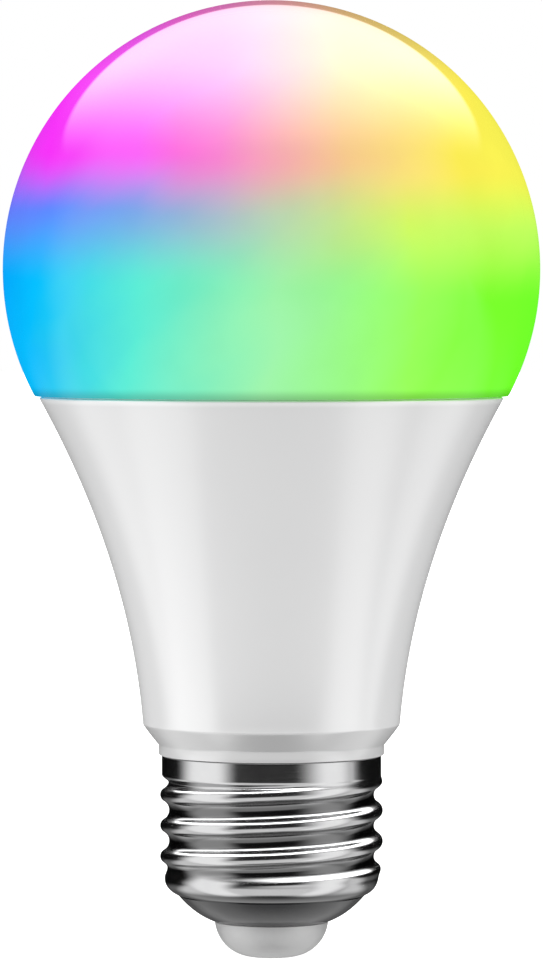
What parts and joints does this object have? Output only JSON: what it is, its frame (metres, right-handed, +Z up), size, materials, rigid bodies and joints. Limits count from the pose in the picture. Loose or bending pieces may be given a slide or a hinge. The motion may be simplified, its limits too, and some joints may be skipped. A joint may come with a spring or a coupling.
{
  "type": "smart light bulb",
  "caption": "Colour-changing LED bulb: round glowing opal globe on a flared white housing with a nickel Edison screw cap, black insulator and centre contact.",
  "frame": {"origin": "middle of the centre contact's flat tip, the lowest point of the screw cap", "axes": "+Z up the bulb's axis to the top of the globe, -Y towards the front, +X to the right seen from the front"},
  "size_m": [0.063, 0.063, 0.1122],
  "materials": {
    "opal_globe": "glossy opal diffuser, lit in a sweep of colours",
    "silicone": "cured silicone bead",
    "white_housing": "smooth white moulded plastic",
    "aluminium": "pressed aluminium",
    "light_board": "white solder mask on aluminium",
    "screw_steel": "zinc-plated steel",
    "led_frame": "white reflector plastic",
    "cool_phosphor": "pale yellow silicone over the die",
    "warm_phosphor": "amber silicone over the die",
    "semiconductor": "bare light-emitting dies",
    "black_plastic": "black moulding compound",
    "gold_pins": "gold-plated pins",
    "circuit_board": "green solder mask on glass epoxy",
    "copper_track": "bare copper track",
    "tinned_metal": "tin-plated and soldered metal",
    "ferrite": "sintered ferrite",
    "winding_tape": "yellow polyester tape over the windings",
    "copper_wire": "enamelled copper wire",
    "capacitor_can": "drawn aluminium can",
    "dark_sleeve": "dark shrink sleeve",
    "blue_sleeve": "blue shrink sleeve",
    "epoxy_red": "dark red epoxy dip",
    "resistor_chips": "thick-film chips",
    "resistor_lacquer": "blue-green lacquer",
    "red_insulation": "red silicone insulation",
    "black_insulation": "black silicone insulation",
    "bare_copper": "bare stranded copper",
    "nickel_shell": "polished nickel plate on a rolled steel shell",
    "black_glass": "black glass insulator",
    "contact_metal": "satin tin-plated brass"
  },
  "bodies": {
    "root": {"diffuser_globe": "opal_globe", "globe_sealant": "silicone", "thermal_pad": "silicone", "housing_shell": "white_housing", "heatsink_cup": "aluminium", "heat_spreader": "aluminium", "led_board": "light_board", "board_screws": "screw_steel", "cool_white_leds": "led_frame", "warm_white_leds": "led_frame", "rgb_leds": "led_frame", "led_socket": "led_frame", "cool_phosphor": "cool_phosphor", "warm_phosphor": "warm_phosphor", "rgb_dies": "semiconductor", "led_header": "black_plastic", "wifi_header": "black_plastic", "wifi_chip": "black_plastic", "filter_inductor": "black_plastic", "bridge_rectifier": "black_plastic", "driver_chips": "black_plastic", "rectifier_diodes": "black_plastic", "transformer_bobbin": "black_plastic", "led_header_pins": "gold_pins", "wifi_pins": "gold_pins", "driver_board": "circuit_board", "wifi_board": "circuit_board", "wifi_antenna": "copper_track", "chip_leads": "tinned_metal", "component_leads": "tinned_metal", "solder_joints": "tinned_metal", "wifi_crystal": "tinned_metal", "transformer_core": "ferrite", "choke_core": "ferrite", "transformer_winding": "winding_tape", "choke_winding": "copper_wire", "bulk_capacitor": "capacitor_can", "output_capacitor": "capacitor_can", "bulk_capacitor_sleeve": "dark_sleeve", "output_capacitor_sleeve": "blue_sleeve", "film_capacitor": "epoxy_red", "chip_resistors": "resistor_chips", "fusible_resistor": "resistor_lacquer", "live_wire": "red_insulation", "neutral_wire": "black_insulation", "wire_tails": "bare_copper", "screw_shell": "nickel_shell", "cap_insulator": "black_glass", "centre_contact": "contact_metal"}
  },
  "joints": []
}
